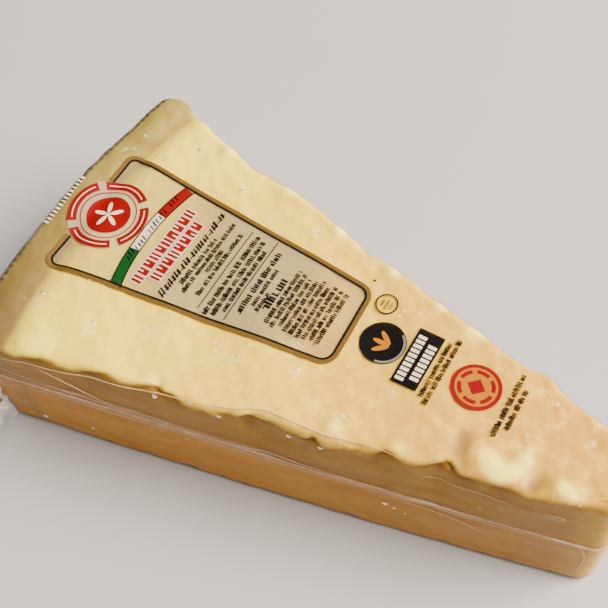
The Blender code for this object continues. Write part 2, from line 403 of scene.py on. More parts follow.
def pocket(points):
    """Depth of the chipped pockets: a bell along the edge times a bell down from the cap's line."""
    reach = np.hypot(points[:, 0], points[:, 1])
    down = (below_cap(points, -1) - POCKET_MIDDLE) / POCKET_HALF
    return bumps(reach, POCKETS) * np.exp(-(down**2))


def lump_relief(points):
    """How far the lumps lift the top, straight up: the sum of bells, faded out down the wall."""
    total = np.zeros(len(points))
    for reach, across, height, width in LUMPS:
        apart = np.hypot(points[:, 0] + reach * MM, points[:, 1] - across * MM)
        total = total + height * MM * np.exp(-((apart / (width * MM)) ** 2))
    return total * ramp(points[:, 2], THICKNESS - 7.0 * MM, THICKNESS - 1.0 * MM)


# %% The film's own relief
def film_relief(points):
    """How far the film stands off along the normals: ripples, streaks, and a share of each pocket."""
    on_top = ramp(points[:, 2], THICKNESS - 4.0 * MM, THICKNESS - 1.0 * MM)
    stretched = points * [0.22, 0.5, 1.0]
    relief = 0.06 * MM * ripple(points, 16 * MM, 21) - 0.08 * MM
    relief = relief + (1.0 - on_top) * 0.09 * MM * ripple(stretched, 4.5 * MM, 22)
    return relief - 0.25 * pocket(points)


def off_base(points, normals, distance):
    """Points at a distance from the base form along its normals, lifted by the lumps."""
    moved = points + normals * np.reshape(distance, (-1, 1))
    moved[:, 2] = np.maximum(moved[:, 2] + lump_relief(points), 0.0)
    return moved


def film_height(x, y):
    """Height of the film over the top face, where the print lies."""
    flat = np.column_stack([np.ravel(x), np.ravel(y), np.full(np.size(x), THICKNESS)])
    relief = top_relief(flat[:, 0], flat[:, 1]) + film_relief(flat) + lump_relief(flat)
    return THICKNESS + relief.reshape(np.shape(x))


# %% [markdown]
# ## Making pieces and materials
# Each piece is handed over as points and quads in the wheel's frame.  One function puts them into
# a mesh in the scene's frame, and one small function adds a node to a material.

# %% From arrays to a piece
def make_piece(name, points, quads, material, fields=None, merge=False, replaces=False):
    """A smooth mesh of points and quads, with its float attributes, riding on the root body."""
    mesh = bpy.data.meshes.new(name)
    placed = np.asarray(points) + [WHEEL_X, WHEEL_Y, 0.0]
    mesh.from_pydata(placed, [], quads.tolist())
    for field, values in (fields or {}).items():
        layer = mesh.attributes.new(field, "FLOAT", "POINT")
        layer.data.foreach_set("value", np.asarray(values, dtype=np.float32))
    if merge:
        work = bmesh.new()
        work.from_mesh(mesh)
        bmesh.ops.remove_doubles(work, verts=work.verts, dist=1e-6)
        work.to_mesh(mesh)
        work.free()
    mesh.materials.append(material)
    mesh.shade_smooth()
    mesh.update()
    piece = bpy.data.objects.new(name, mesh)
    bpy.context.scene.collection.objects.link(piece)
    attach(piece, "root")
    if replaces:
        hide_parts(NODE)
    spans = np.round(np.ptp(placed, axis=0) / MM, 1)
    print(name, len(mesh.vertices), "points,", len(mesh.polygons), "faces, mm", spans)
    return piece


def weld(stacks):
    """Joins stacks of grids, each (count, rows, columns, XYZ), into one set of points and quads."""
    points = []
    quads = []
    first = 0
    for stack in stacks:
        index = first + np.arange(stack[..., 0].size).reshape(stack.shape[:3])
        quads.append(grid_quads(index))
        points.append(stack.reshape(-1, 3))
        first += index.size
    return np.vstack(points), np.vstack(quads)


# %% Material helpers
def linear(hex_code):
    """sRGB hex to the linear colour that Blender works in."""
    channels = np.array([int(hex_code[i:i + 2], 16) for i in (0, 2, 4)]) / 255.0
    curve = np.where(channels <= 0.04045, channels / 12.92, ((channels + 0.055) / 1.055) ** 2.4)
    return (*(float(c) for c in curve), 1.0)


def add(tree, kind, inputs=None, out=0, **settings):
    """Adds a node and gives one of its outputs; an input is a socket, a value or a hex colour."""
    node = tree.nodes.new("ShaderNode" + kind)
    for key, value in settings.items():
        setattr(node, key, value)
    for key, value in (inputs or {}).items():
        if isinstance(value, bpy.types.NodeSocket):
            tree.links.new(value, node.inputs[key])
        else:
            node.inputs[key].default_value = linear(value) if isinstance(value, str) else value
    return node.outputs[out] if node.outputs else node


def new_material(name):
    """An empty node material, its node tree, and the Object coordinates that its patterns read."""
    material = bpy.data.materials.new(name)
    material.use_nodes = True
    tree = material.node_tree
    tree.nodes.clear()
    return material, tree, add(tree, "TexCoord", out="Object")


def per_mm(length_mm):
    """The texture scale whose features measure this many millimetres."""
    return 1.0 / (length_mm * MM)


# %% [markdown]
# ## The cheese
# Hard, long-aged cheese is a dense straw-coloured paste: softly mottled, with pale crystal
# spots, and translucent enough that its edges glow.  Its cut walls are painted a deeper amber than
# the top, as painted shade and warm bounce light.  The outer rind is a tan, waxy band, and the
# rind's face is grey-brown.  It is one mesh, because it is one thing, and point attributes from 0
# to 1 carry where each finish lies, and where shade and highlight are painted.

# %% The mesh of the cheese
FILM_GAP = 0.30 * MM
DEEPEST_POCKET = 1.2 * MM
NEAR_WALL = np.array([math.sin(HALF_ANGLE), -math.cos(HALF_ANGLE), 0.0])
FAR_WALL = np.array([math.sin(HALF_ANGLE), math.cos(HALF_ANGLE), 0.0])

points, quads, normals = base_form(206, 96, 50)
reach = np.hypot(points[:, 0], points[:, 1])
height = points[:, 2]
hollow = pocket(points)
relief = film_relief(points)
grain = 0.15 * ripple(points, 5.0 * MM, 31) + 0.06 * ripple(points, 2.4 * MM, 32)
cheese_points = off_base(points, normals, relief + grain * MM - hollow - FILM_GAP)
cheese_points[:, 2] = np.maximum(cheese_points[:, 2], 0.15 * MM)
print("deepest pocket", round(float(hollow.max()) / MM, 2), "mm")

# %% Painted shade on the cut walls
# Painted shade and warm bounce light: the cut walls painted deeper amber, most on the near wall.
heading = normals[:, :2] / np.maximum(np.hypot(normals[:, 0], normals[:, 1]), 0.05)[:, None]
near_face, far_face = (ramp(heading @ wall[:2], 0.30, 0.90) for wall in (NEAR_WALL, FAR_WALL))
near_painted_shade, far_painted_shade = (ramp(below_cap(points, side), -1.2 * MM, 1.3 * MM) * face
                     for side, face in ((-1, near_face), (1, far_face)))
to_tip = ramp(reach, TIP_RADIUS + 1 * MM, TIP_RADIUS + 14 * MM)
tip_painted_shade = 0.12 * ramp(THICKNESS - height, 2 * MM, 8 * MM) * (reach < TIP_RADIUS + 14 * MM)
painted_wall_shade = np.maximum(np.maximum(near_painted_shade, 0.8 * far_painted_shade) * to_tip, tip_painted_shade)
seam = seam_height(reach)
# Above the seam the cheese's wall is painted a darker brown, as painted shade.
over_seam = ramp(height, seam - 1.0 * MM, seam + 2.0 * MM)
print("points on oily walls", int((painted_wall_shade > 0.5).sum()))

# %% Painted highlight on the lumps, painted shade between them, and the deeper tip
lumps = lump_relief(points)
on_top = ramp(height, THICKNESS - 5.0 * MM, THICKNESS - 2.0 * MM)
# Painted shade in the valleys between the top's lumps, painted highlight on their crowns.
painted_valley_shade = on_top * ramp(-lumps, 0.08 * MM, 0.65 * MM)
painted_lump_highlight = on_top * ramp(lumps, 0.10 * MM, 0.55 * MM)
# Deeper and more orange towards the tip: partly the paste's own tone, partly painted shade.
tip_tone_and_shade = ramp(-reach, -190 * MM, -60 * MM) * ramp(height, THICKNESS - 9.0 * MM, THICKNESS - 2.0 * MM)
tip_tone_and_shade = np.maximum(tip_tone_and_shade, 0.75 * (1.0 - ramp(reach, TIP_RADIUS + 6 * MM, TIP_RADIUS + 18 * MM)))

# %% The rind, its face, and painted shade along the groove and towards the near end
GROOVE_AT = WHEEL_RADIUS - RIND_DEPTH
cut_face = np.maximum(near_face, far_face) * ramp(THICKNESS - height, 0.5 * MM, 3.5 * MM)
rind = ramp(reach, GROOVE_AT - 0.8 * MM, GROOVE_AT + 0.8 * MM) * (1.0 - 0.85 * cut_face)
bark = ramp(reach, WHEEL_RADIUS - 1.6 * MM, WHEEL_RADIUS - 0.2 * MM) * (1.0 - cut_face)
# Painted shadow: a brown line along the groove between rind band and paste.
groove_painted_shade = np.exp(-(((reach - WHEEL_RADIUS + RIND_DEPTH) / (1.5 * MM)) ** 2))
# Painted shade: the rind band darker towards the near end, away from the light.
rind_painted_shade = ramp(-points[:, 1], -25 * MM, 48 * MM)

# %% Pale crystal clusters, partly painted glints
# (reach, across) in mm of the largest clusters; the rest are scattered by a seeded draw.
CLUSTERS = (
    (190, 36), (190, 28), (191, -28), (162, 29), (150, 24), (137, 25), (122, 25), (113, 18),
    (124, -7), (135, -18), (141, -18), (120, -14), (104, -20), (159, -22), (173, -29), (151, 33),
)
SCATTERED = 90
rng = np.random.default_rng(5)
centres = [points[rng.integers(0, len(points), SCATTERED)]]
centres = np.vstack(centres + [[(-u * MM, v * MM, THICKNESS) for u, v in CLUSTERS]])
placed = len(CLUSTERS)
spread = np.concatenate([rng.uniform(0.7, 1.9, SCATTERED), rng.uniform(1.3, 2.6, placed)]) * MM
strength = np.concatenate([rng.uniform(0.2, 0.8, SCATTERED), rng.uniform(0.5, 0.9, placed)])
# Pale spots: partly the crystals' own white, partly painted glints where the film catches light.
pale = np.zeros(len(points))
for centre, width, power in zip(centres, spread, strength):
    stretch = (points - centre) * [1.0, 0.75, 1.0]
    pale = np.maximum(pale, power * np.exp(-((np.linalg.norm(stretch, axis=1) / width) ** 2)))
pale = np.clip(pale * (0.65 + 0.35 * ripple(points, 1.9 * MM, 33)), 0.0, 1.0)
print("pale clusters", len(centres))

# %% [markdown]
# ### The finish of the cheese
# The colour is laid on in coats, each with a share from 0 to 1: slow clouds of two straws, deeper
# towards the tip (partly painted shade), painted highlight on the lumps and painted shade between
# them, painted shade on the cut walls and in the pockets, small pale crystals (partly painted
# glints), and the rind, with painted shade along its groove and towards its near end.
# A little subsurface scattering lets light through the edges, and a fine bump gives the crumb its
# broken sparkle under the film.  The real thing is long-aged cow's milk cheese, broken and then
# pressed under film, which leaves it waxy and half matt.

# %% What each coat follows
cheese_fields = {
    "painted_wall_shade": painted_wall_shade, "rind": rind, "bark": bark, "groove_painted_shade": groove_painted_shade, "upper": over_seam, "painted_valley_shade": painted_valley_shade,
    "painted_lump_highlight": painted_lump_highlight, "tip_tone_and_shade": tip_tone_and_shade, "rind_painted_shade": rind_painted_shade, "pale": pale,
    # Painted shade in the chipped pockets: the deeper the pocket, the darker the amber.
    "hollow": np.clip(hollow / DEEPEST_POCKET, 0, 1),
}
paste, tree, place = new_material("aged_hard_cheese_broken_face")
share = {name: add(tree, "Attribute", None, "Fac", attribute_name=name) for name in cheese_fields}

# Each mottling: (size in mm, detail, roughness, noise where it starts, where it is full, how full).
MOTTLING = {
    "clouds": (26, 2.5, 0.45, 0.36, 0.64, 1.0), "flecks": (4.5, 4.0, 0.6, 0.52, 0.72, 0.5),
    "waxy": (9, 5.0, 0.6, 0.35, 0.65, 1.0),
}
for name, (size, detail, rough, none, full, most) in MOTTLING.items():
    noise = add(tree, "TexNoise",
                {"Vector": place, "Scale": per_mm(size), "Detail": detail, "Roughness": rough})
    share[name] = add(tree, "MapRange", {0: noise, 1: none, 2: full, 4: most})
drawn = add(tree, "Mapping", {"Vector": place, "Scale": (0.16, 0.5, 1.0)})
streaks = add(tree, "TexNoise", {"Vector": drawn, "Scale": per_mm(5), "Detail": 3.0})
share["streaks"] = add(tree, "MapRange", {0: streaks, 1: 0.35, 2: 0.68})
# The groove's painted shadow, at a little over half strength.
share["shade"] = add(tree, "Math", {0: share["groove_painted_shade"], 1: 0.55}, operation="MULTIPLY")
print("shares", ", ".join(share))

# %% Crystals
# Tyrosine crystals are white specks of 0.3 to 1 mm, some 4 mm apart; clusters break into shards.
specks = add(tree, "TexVoronoi", {"Vector": place, "Scale": per_mm(4.2)}, "Distance")
chosen = add(tree, "SeparateColor", {0: specks.node.outputs["Color"]})
size = add(tree, "Math", {0: chosen, 1: 0.28, 2: -0.10}, operation="MULTIPLY_ADD")
specks = add(tree, "Math", {0: size, 1: specks}, operation="SUBTRACT")
specks = add(tree, "MapRange", {0: specks, 1: 0.0, 2: 0.08, 4: 0.90})
shards = add(tree, "TexNoise",
             {"Vector": place, "Scale": per_mm(1.1), "Detail": 2.0, "Roughness": 0.4})
shards = add(tree, "Math", {0: share["pale"], 1: 0.80, 2: shards}, operation="MULTIPLY_ADD")
shards = add(tree, "MapRange", {0: shards, 1: 0.72, 2: 1.22, 4: 0.85})
share["spots"] = add(tree, "Math", {0: specks, 1: shards}, operation="MAXIMUM")
# The crystal specks show less where the walls carry painted shade.
faint = add(tree, "Math", {0: share["painted_wall_shade"], 1: -0.60, 2: 0.80}, operation="MULTIPLY_ADD")
share["faint"] = add(tree, "Math", {0: faint, 1: share["spots"]}, operation="MULTIPLY")

# %% Pricks
# The rind's face is pricked all over in an even lattice of dots, some 2 mm apart.
wrap = add(tree, "UVMap", uv_map="around")
pricks = add(tree, "TexVoronoi", {"Vector": wrap, "Scale": per_mm(2.2), "Randomness": 0.12},
             "Distance", voronoi_dimensions="2D")
share["pricks"] = add(tree, "MapRange", {0: pricks, 1: 0.20, 2: 0.32})

# %% The coats
# (what it makes, the share, what lies under, what lies over it), each a name or a colour.
COATS = (
    # The deeper tip: partly the paste's own tone, partly painted shade.
    ("straw", "clouds", "F3D83A", "EECB42"), ("straw", "tip_tone_and_shade", "straw", "D09C36"),
    # Painted shade in the valleys, painted highlight on the lumps.
    ("straw", "flecks", "straw", "F8DC62"), ("straw", "painted_valley_shade", "straw", "9A7430"),
    ("straw", "painted_lump_highlight", "straw", "FAE264"),
    ("amber", "streaks", "B4761A", "C08630"), ("brown", "streaks", "986614", "A67622"),
    # Painted shade: the wall above the seam darker brown, the pockets darker amber.
    ("amber", "upper", "amber", "brown"), ("amber", "hollow", "amber", "784C10"),
    # Painted shade and warm bounce light on the cut walls.
    ("painted_shade", "painted_wall_shade", "straw", "amber"), ("crumb", "faint", "painted_shade", "FBE9AC"),
    # The rind band, with painted shade towards its near end.
    ("tan", "waxy", "7E6C2A", "9A8640"), ("tan", "rind_painted_shade", "tan", "5C4722"),
    ("tan", "spots", "tan", "D8C688"),
    # Painted shadow along the groove.
    ("whole", "rind", "crumb", "tan"), ("whole", "shade", "whole", "8A6C3A"),
    ("face", "waxy", "5E4E38", "7C6A4C"), ("face", "pricks", "463826", "face"),
    ("whole", "bark", "whole", "face"),
)
coat = {}
for name, part, under, over in COATS:
    sides = {0: share[part], 6: coat.get(under, under), 7: coat.get(over, over)}
    coat[name] = add(tree, "Mix", sides, 2, data_type="RGBA")
print(len(COATS), "coats of colour")

# %% The piece of cheese
crumb = add(tree, "TexNoise",
            {"Vector": place, "Scale": per_mm(1.3), "Detail": 4.0, "Roughness": 0.6})
crumb = add(tree, "Bump", {"Height": crumb, "Strength": 0.25, "Distance": 0.2 * MM})
shader = add(tree, "BsdfPrincipled", {
    "Base Color": coat["whole"], "Roughness": 0.5, "IOR": 1.45, "Specular IOR Level": 0.10,
    "Subsurface Weight": 0.25, "Subsurface Scale": 2.5 * MM, "Subsurface Radius": (1.0, 0.62, 0.30),
    "Normal": crumb})
add(tree, "OutputMaterial", {0: shader})
cheese = make_piece("parmesan_wedge", cheese_points, quads, paste, cheese_fields,
                    replaces=True)
around = np.arctan2(points[:, 1], -points[:, 0]) * WHEEL_RADIUS
uv = np.column_stack([around, cheese_points[:, 2]])[quads.ravel()]
cheese.data.uv_layers.new(name="around").data.foreach_set("uv", uv.ravel())

# %% [markdown]
# ## The film
# Vacuum film is about 0.1 mm of clear laminate.  It shows only by what it does to light: soft
# gloss, small bright ridges, and a slight haze where it was drawn down the sides.  So it is a
# single skin that mixes transparency, a little milky haze by an attribute, and a gloss that
# grows towards grazing angles.


# %% Film material
def clear_laminate(name, haze_factor, milk, roughness, wobble_mm, sheen):
    """Clear vacuum laminate: transparent, hazed by an attribute, glossy by Fresnel."""
    material, tree, place = new_material(name)
    uneven = add(tree, "TexNoise", {"Vector": place, "Scale": per_mm(6), "Detail": 3.0})
    uneven = add(tree, "MapRange",
                 {0: uneven, 1: 0.3, 2: 0.7, 3: 0.6 * haze_factor, 4: 1.3 * haze_factor})
    haze = add(tree, "Attribute", None, "Fac", attribute_name="haze")
    haze = add(tree, "Math", {0: haze, 1: uneven}, operation="MULTIPLY")
    wobble = add(tree, "TexNoise", {"Vector": place, "Scale": per_mm(wobble_mm), "Detail": 2.0})
    wobble = add(tree, "Bump", {"Height": wobble, "Strength": 0.5, "Distance": 0.15 * MM})
    milky = add(tree, "BsdfDiffuse", {"Color": milk})
    body = add(tree, "MixShader", {0: haze, 1: add(tree, "BsdfTransparent"), 2: milky})
    gloss = add(tree, "BsdfGlossy", {"Color": "FFFFFF", "Roughness": roughness, "Normal": wobble})
    grazing = add(tree, "Fresnel", {"IOR": 1.36, "Normal": wobble})
    grazing = add(tree, "Math", {0: grazing, 1: sheen}, operation="MULTIPLY")
    add(tree, "OutputMaterial", {0: add(tree, "MixShader", {0: grazing, 1: body, 2: gloss})})
    return material


# %% The skin of film
wall = 1.0 - np.abs(normals[:, 2])
at_rind = ramp(reach, WHEEL_RADIUS - 26 * MM, WHEEL_RADIUS - 2 * MM) * (points[:, 1] < 0)
at_tip = 1.0 - ramp(reach, TIP_RADIUS + 15 * MM, TIP_RADIUS + 95 * MM)
streaked = 0.65 + 0.45 * ripple(points * [0.5, 0.5, 1.0], 3.2 * MM, 45)
by_seam = np.exp(-(((height - seam - 2.0 * MM) / (2.0 * MM)) ** 2))
haze = 0.02 + 0.10 * over_seam * wall + (0.05 + 0.9 * at_tip) * (1.0 - over_seam)
haze = haze + (at_rind + 0.25 * at_tip) * over_seam * wall * streaked + 0.35 * by_seam * wall
skin_film = clear_laminate("clear_vacuum_laminate_drawn", 0.20, "BC9E70", 0.12, 2.2, 0.34)
make_piece("clear_film", off_base(points, normals, relief), quads, skin_film,
           {"haze": np.clip(haze, 0, 1)}, replaces=True)

# %% [markdown]
# ## The seam
# The two webs of film are welded all round, lower at the tip than at the rind.  The weld is a
# narrow, pleated lip that is pressed against the wall, so it is a flat closed profile with fine
# ridges, carried round the outline at the seam's height.


# %% The lip's shape
def outward(points, quads):
    """The quads, turned over if the volume that they enclose comes out negative."""
    a, b, c, d = (points[quads[:, k]] for k in range(4))
    volume = np.sum(np.cross(b - a, c - a) * a) + np.sum(np.cross(c - a, d - a) * a)
    return quads if volume > 0 else quads[:, ::-1]


LIP_HALF_RIND = 0.95 * MM
LIP_HALF_TIP = 0.60 * MM
LIP_STAND = 0.40 * MM
PLEATS = 4
PLEAT_DEPTH = 0.13 * MM


def seam_lip(along=430, across=110, steps=34):
    """A flat loop, tall 2 * half and standing out, with pleats as a sine on its outer half."""
    rim = perimeter(along, across)
    half = LIP_HALF_RIND + (LIP_HALF_TIP - LIP_HALF_RIND) * from_rind(rim[0])
    base = outline(rim, seam_height(rim[0]), 0.0)
    drift = ripple(base, 26 * MM, 41)
    waver = ripple(base, 11 * MM, 42)
    rows = []
    for turn in np.arange(steps) / steps * 2.0 * math.pi:
        outer = max(math.sin(turn), 0.0) ** 0.6
        pleat = PLEAT_DEPTH * np.sin(PLEATS * turn + 1.3 * drift) * outer
        stand = (LIP_STAND * (1.0 + 0.35 * waver) + pleat) * outer - 0.1 * MM * (1.0 - outer)
        z = seam_height(rim[0]) + half * (math.cos(turn) + 0.18 * drift)
        rows.append(np.column_stack([outline(rim, z, stand), z]))
    rows = np.array(rows)
    index = np.arange(rows[..., 0].size).reshape(rows.shape[:2])
    return rows.reshape(-1, 3), grid_quads(np.pad(index, ((0, 1), (0, 1)), "wrap"), flip=True)


points, quads = seam_lip()
# Heat sealing leaves the two webs a little milky, so the lip reads as a paler line.
lip_film = clear_laminate("heat_sealed_laminate_edge", 0.45, "C8986A", 0.20, 1.6, 0.4)
make_piece("film_seam_lip", points, outward(points, quads), lip_film,
           {"haze": 0.6 + 0.4 * ripple(points, 5 * MM, 43)}, replaces=True)

# %% [markdown]
# ## Creases
# Where the film bridges from the top to the wall it draws into fine straight ridges, which catch
# the light as thin bright lines.  Each one is a slim spindle along a path over the skin, and its
# pale milk is partly painted highlight.


# %% Spindles over the skin
def near_skin(reach, over):
    """Points of the near wall's skin at distances over the top edge, with the outward normals."""
    quarter = 0.5 * math.pi * TOP_ROUND
    bend = np.clip(over / quarter + 0.5, 0.0, 1.0) * 0.5 * math.pi
    inset = TOP_ROUND * (1 - np.sin(bend)) + np.clip(-over - 0.5 * quarter, 0.0, None)
    z = THICKNESS - TOP_ROUND * (1 - np.cos(bend)) - np.clip(over - 0.5 * quarter, 0.0, None)
    wide = np.concatenate([[reach[0] * 2 - reach[1]], reach, [reach[-1] * 2 - reach[-2]]])
    tall = np.concatenate([z[:1], z, z[-1:]])
    deep = np.concatenate([inset[:1], inset, inset[-1:]])
    rim = (wide, np.full(wide.size, -1.0), np.zeros(wide.size))
    places = raised(outline(rim, tall, -deep)[1:-1], z)
    normal = np.sin(bend)[:, None] * NEAR_WALL + np.cos(bend)[:, None] * [0.0, 0.0, 1.0]
    return off_base(places, normal, film_relief(places)), normal


def spindle(places, normals, wide, tall, sides=8):
    """A closed sliver along the path: an ellipse of wide by tall that swells as a half sine."""
    across = np.cross(unit(np.gradient(places, axis=0)), normals)
    swell = np.sin(math.pi * np.linspace(0.0, 1.0, len(places)))[:, None] ** 0.6
    turns = np.linspace(0.0, 2.0 * math.pi, sides + 1)
    rows = [across * wide * math.cos(turn) + normals * tall * math.sin(turn) for turn in turns]
    return (places + swell * np.array(rows))[None]


def smooth_path(knots, count):
    """Points along a curve through the knots: cubic Hermite pieces with Catmull-Rom slopes."""
    knots = np.array(knots, dtype=float)
    slopes = np.gradient(knots, axis=0)
    where = np.linspace(0, len(knots) - 1, count)
    first = np.minimum(where.astype(int), len(knots) - 2)
    t = (where - first)[:, None]
    a, b = knots[first], knots[first + 1]
    m, n = slopes[first], slopes[first + 1]
    return ((2 * t**3 - 3 * t**2 + 1) * a + (t**3 - 2 * t**2 + t) * m
            + (3 * t**2 - 2 * t**3) * b + (t**3 - t**2) * n)


# %% Creases and seam lines
# Each crease: its half width in mm, and its knots as (reach, distance over the edge) in mm.
CREASES = (
    (0.22, ((204, 3.4), (190, 3.0), (180, 3.0), (168, 2.6), (161, 1.6), (152, 0.3), (142, -0.6))),
    (0.16, ((144, -0.4), (135, -0.9), (125, -1.5), (113, -1.8), (104, -1.4), (97, -0.9), (90, -0.2))),
    (0.30, ((186, 4.2), (182.3, 6.6), (177, 10.4), (172, 13.4), (165, 15.0))),
    (0.14, ((199, 11.0), (188, 13.2), (178, 14.6), (166, 16.0), (150, 16.4))),
    (0.14, ((92, 22.6), (82, 23.3), (74, 25.0), (67, 28.0))),
    (0.10, ((84, 6.0), (80, 6.6), (70, 6.3), (62, 7.0))),
    (0.16, ((47, 20.5), (43, 23.0), (41.5, 29.0), (42.5, 38.0))),
)
# Lines beside the seam: (half width, offset at the rind, offset at the tip, first, last reach).
SEAM_LINES = (
    (0.22, -1.6, -0.7, 203, 42), (0.20, 1.3, 0.6, 203, 52), (0.24, 2.6, 1.1, 203, 84),
    (0.14, 3.7, 1.8, 192, 118), (0.13, -0.9, -1.7, 96, 58), (0.16, -2.6, -1.5, 204, 150),
)
SEAM_LINE_KNOTS = 11
runs = []
for half, rind_offset, tip_offset, first, last in SEAM_LINES:
    run = np.linspace(first, last, SEAM_LINE_KNOTS)
    fall = (run[0] - run) / (run[0] - 40.0)
    waver = 0.22 * np.sin(1.7 * np.arange(SEAM_LINE_KNOTS) + 9 * half)
    offset = rind_offset + (tip_offset - rind_offset) * fall + waver
    down = (THICKNESS - seam_height(run * MM)) / MM - offset
    runs.append((half, np.column_stack([run, down]), 220, 0.04, 0.5))
runs += [(half, knots, 60, 0.05, 0.6) for half, knots in CREASES]

slivers = []
for half, knots, count, off, tall in runs:
    path = smooth_path(knots, count) * MM
    places, facing = near_skin(path[:, 0], path[:, 1])
    slivers.append(spindle(places + facing * off * MM, facing, half * MM, tall * half * MM))
oval = np.linspace(0.0, 2.0 * math.pi, 48)
places, facing = near_skin((52.0 + 2.6 * np.cos(oval)) * MM, (8.4 + 0.8 * np.sin(oval)) * MM)
slivers.append(spindle(places, facing, 0.08 * MM, 0.06 * MM))
points, quads = weld(slivers)
# A crease lays the film double, so it is the palest of it, with a small sharp gloss; part of
# that paleness is painted highlight.
crease_film = clear_laminate("drawn_laminate_crease", 0.85, "E2BC94", 0.14, 3.0, 0.5)
make_piece("film_creases", points, outward(points, quads), crease_film,
           {"haze": np.full(len(points), 0.8)}, merge=True, replaces=True)

# %% [markdown]
# ## The loose corner
# At the corner by the rind the webs were wider than the wedge, and the surplus stands off the
# corner as a crumpled fin.  It is a sheet hung from the corner's upright line: the further out,
# the deeper its folds.


# %% The crumpled fin
FIN_REACH = 11.5 * MM
FIN_FOLD = 1.9 * MM
FIN_ROOT_IN = 1.4 * MM
FIN_DROOP = 7.0 * MM
FIN_LIFT = 2.2 * MM
# (height, waves down the fin, waves outwards) of its smaller folds, as radians over its length.
FIN_WAVES = ((0.5, 19.0, -5.0), (0.35, 31.0, 9.0), (0.30, 3.0, 12.0))


def crumpled_fin(down=70, out=46):
    """Corner + t * reach * bisector, folded sideways by t^0.7 * (sum of sharp-ridged waves)."""
    s, t = np.meshgrid(np.linspace(0.0, 1.0, down), np.linspace(0.0, 1.0, out), indexing="ij")
    rind_way = np.array([-math.cos(HALF_ANGLE), -math.sin(HALF_ANGLE)])
    root = rind_way * (WHEEL_RADIUS - FIN_ROOT_IN)
    bisector = unit(1.8 * NEAR_WALL[:2] + rind_way)
    aside = np.array([-bisector[1], bisector[0]])
    z = SEAM_AT_RIND * THICKNESS * (1.0 - s) + 0.6 * MM * s
    z = z - FIN_DROOP * t**1.6 * (1.0 - s) ** 1.5 + FIN_LIFT * t * s**2
    sharp = np.abs(np.sin(7.0 * s + 2.2 * t + 0.6))
    folds = sharp - 0.5 + sum(tall * np.sin(a * s + b * t) for tall, a, b in FIN_WAVES)
    away = t * FIN_REACH * (0.80 + 0.14 * np.sin(8.0 * s + 1.0) + 0.06 * np.sin(23.0 * s))
    sideways = FIN_FOLD * t**0.7 * folds
    xy = root + away[..., None] * bisector + sideways[..., None] * aside
    # Milky film, with painted highlight on the fold crests and towards the free edge.
    fold_milk_and_painted_highlight = 0.75 - 0.35 * t + ramp(t, 0.90, 1.0) + 0.8 * (1.0 - ramp(sharp, 0.0, 0.22))
    return np.dstack([xy, np.maximum(z, 0.1 * MM)])[None], np.clip(fold_milk_and_painted_highlight, 0.0, 1.0)


fin, fold_milk_and_painted_highlight = crumpled_fin()
points, quads = weld([fin])
# Crumpled film that touches nothing is half clear and returns sharp white glints from its gloss;
# its milk on the fold crests and the free edge is painted highlight.
fin_film = clear_laminate("loose_crumpled_laminate", 0.75, "E8D8BE", 0.08, 2.0, 1.0)
make_piece("film_loose_corner", points, quads, fin_film, {"haze": fold_milk_and_painted_highlight.ravel()},
           replaces=True)

# %% [markdown]
# ## Blisters
# The film clings so closely that every crystal under it makes a tiny dome, and each dome returns
# one bright point of light from its gloss, with a painted glint of milky white at its middle.


# %% Tiny domes
DOME_STEPS = 9


def disc_grid(steps):
    """A square grid bent onto the unit disc: x * sqrt(1 - y^2 / 2), y * sqrt(1 - x^2 / 2)."""
    line = np.linspace(-1.0, 1.0, steps)
    x, y = np.meshgrid(line, line, indexing="ij")
    return x * np.sqrt(1.0 - 0.5 * y**2), y * np.sqrt(1.0 - 0.5 * x**2)


def domes(centres, normals, radii, heights, seed):
    """Low lumpy domes: on each disc the height is h * (1 - r^2)^1.5, standing on the skin."""
    x, y = disc_grid(DOME_STEPS)
    lean = unit(np.cross(normals, [0.0, 1.0, 0.0]))
    other = np.cross(normals, lean)
    phase = np.random.default_rng(seed).uniform(0, 2 * math.pi, len(centres))[:, None, None]
    lobes = 1.0 + 0.22 * np.sin(3.0 * np.arctan2(y, x) + phase) * np.hypot(x, y)
    wide = radii[:, None, None] * lobes
    rise = heights[:, None, None] * np.maximum(1.0 - x**2 - y**2, 0.0) ** 1.5
    return (centres[:, None, None] + (wide * x)[..., None] * lean[:, None, None]
            + (wide * y)[..., None] * other[:, None, None] + rise[..., None] * normals[:, None, None])


rng = np.random.default_rng(9)
top_spots = rng.uniform([60, -1.0], [200, 1.0], (8, 2))
top_spots[:, 1] *= 0.93 * top_spots[:, 0] * math.tan(HALF_ANGLE)
top_spots = np.vstack([top_spots, np.array(CLUSTERS) * [1.0, 0.93]]) * [-MM, MM]
centres = np.column_stack([top_spots, film_height(top_spots[:, 0], top_spots[:, 1])])
up = np.tile([0.0, 0.0, 1.0], (len(centres), 1))
# On the near wall: from and to, as (reach, distance over the edge) in mm, and how many.
WALL_SPOTS = (([45, 3.0], [195, 38.0], 5), ([80, 0.5], [158, 4.5], 4))
walls = np.vstack([rng.uniform(low, high, (count, 2)) for low, high, count in WALL_SPOTS])
walls = walls[np.argsort(walls[:, 0])] * MM
wall_places, wall_up = near_skin(walls[:, 0], walls[:, 1])
centres = np.vstack([centres, wall_places])
up = np.vstack([up, wall_up])
radii = rng.uniform(0.35, 0.85, len(centres)) * MM
points, quads = weld([domes(centres - up * 0.03 * MM, up, radii, radii * 0.32, 3)])
